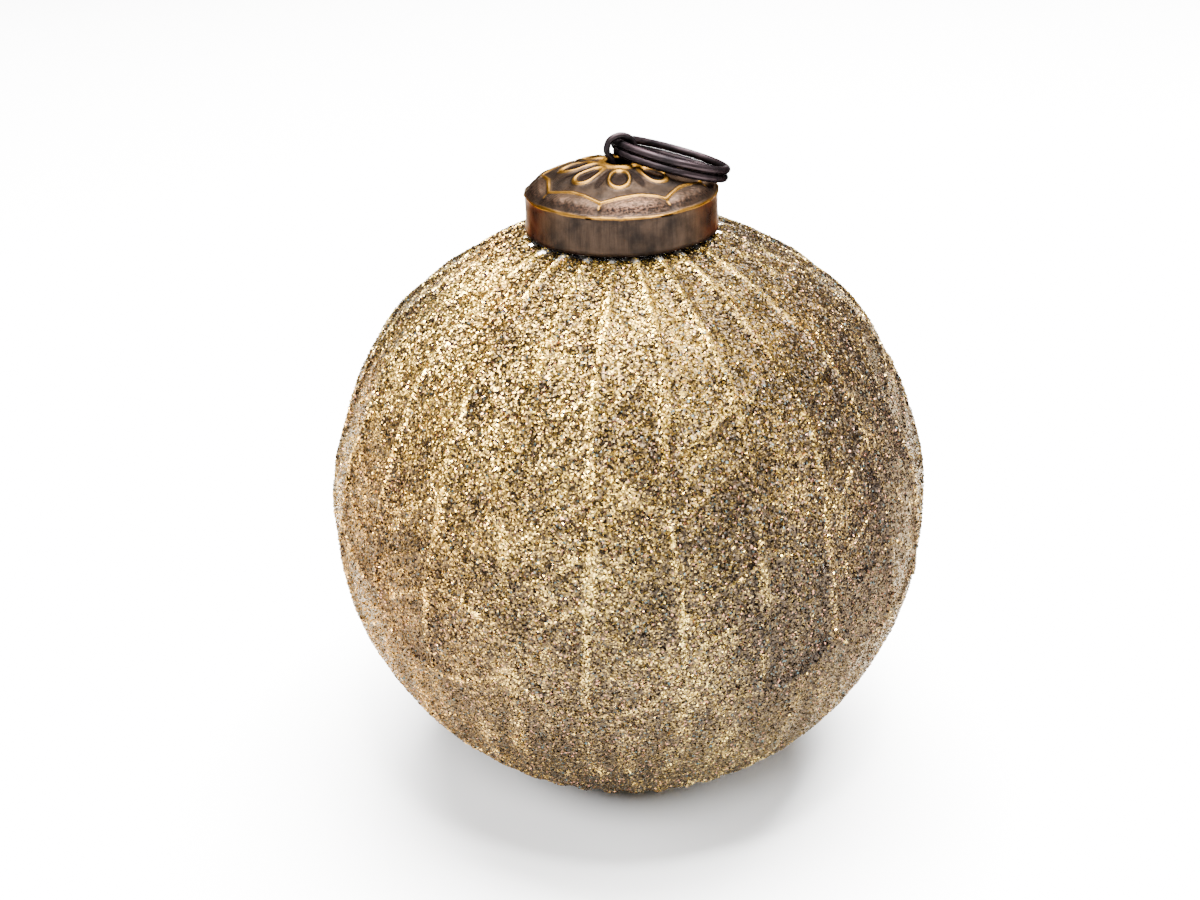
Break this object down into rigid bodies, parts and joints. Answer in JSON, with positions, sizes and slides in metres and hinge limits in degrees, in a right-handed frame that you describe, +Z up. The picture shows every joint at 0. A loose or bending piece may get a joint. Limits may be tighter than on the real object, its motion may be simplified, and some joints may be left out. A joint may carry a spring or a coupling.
{
  "type": "glass bauble",
  "caption": "Hollow glass ball with pressed leaf panels and a glitter crust, under a stamped metal cap with a wire eye and a split ring.",
  "frame": {"origin": "centre of the small flat spot that the ball stands on", "axes": "+Z up along the ball's axis to the cap, -Y the front as pictured, +X to its right"},
  "size_m": [0.0992, 0.0992, 0.1117],
  "materials": {
    "glittered_glass": "silvered glass under a sparkling crust of gold, bronze and dark glitter",
    "aged_cap_metal": "stamped sheet with a brown copper patina, worn to bright brass on its raised lines",
    "black_wire": "blackened wire with a soft sheen"
  },
  "bodies": {
    "root": {"glass_ball": "glittered_glass", "cap": "aged_cap_metal", "hanger_wire": "black_wire", "split_ring": "black_wire"}
  },
  "joints": []
}
